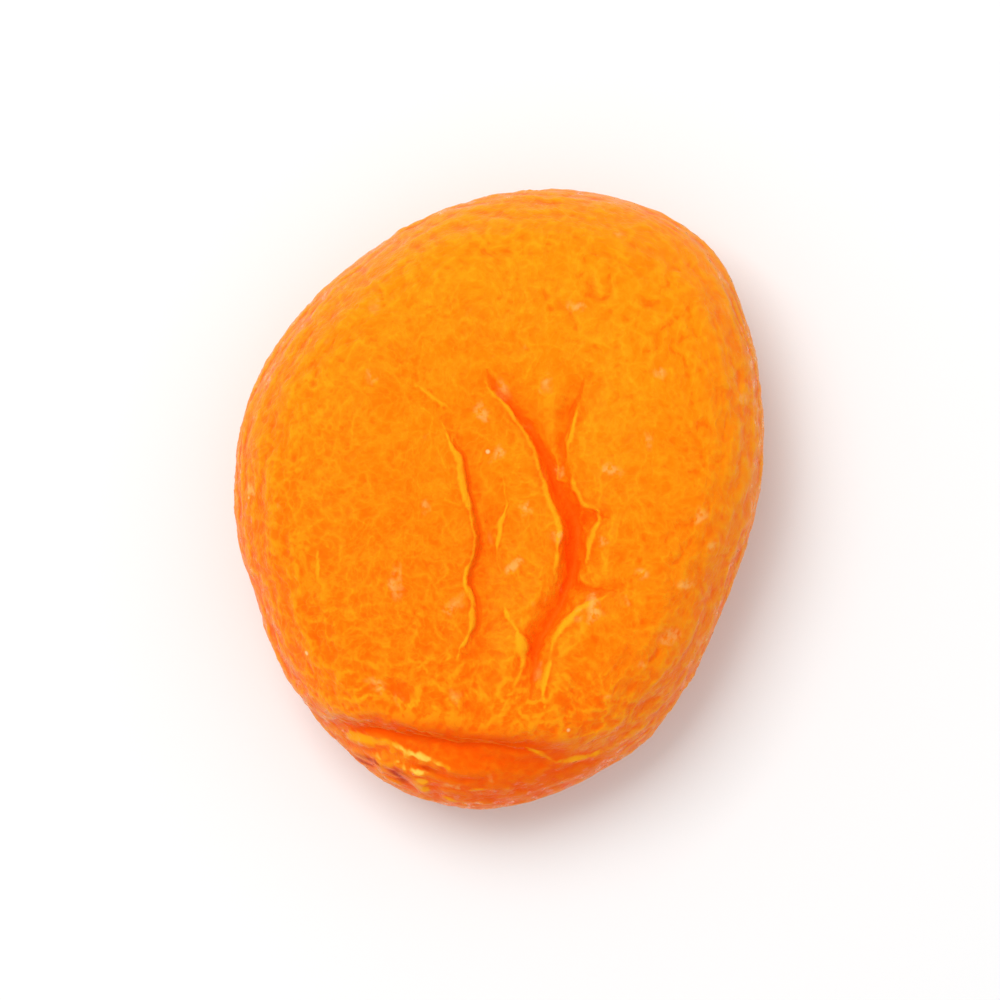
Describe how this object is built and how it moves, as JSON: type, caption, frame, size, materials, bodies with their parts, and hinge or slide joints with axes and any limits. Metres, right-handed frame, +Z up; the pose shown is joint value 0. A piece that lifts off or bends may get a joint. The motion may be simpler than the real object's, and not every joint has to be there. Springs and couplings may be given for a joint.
{
  "type": "dried apricot",
  "caption": "Whole stoned dried apricot: a plump, flattened oval fruit with a forked crease in its sunken upper face, lying on its underside.",
  "frame": {"origin": "on the surface that the fruit lies on, under the middle of its bounding box", "axes": "+Z up out of the creased upper face, +Y along the fruit from the puckered stem end to the blossom end, +X across it"},
  "size_m": [0.0362, 0.043, 0.015],
  "materials": {
    "fruit_skin": "soft, slightly moist, translucent orange skin with fine wrinkles and a satin sheen"
  },
  "bodies": {
    "root": {"apricot": "fruit_skin"}
  },
  "joints": []
}
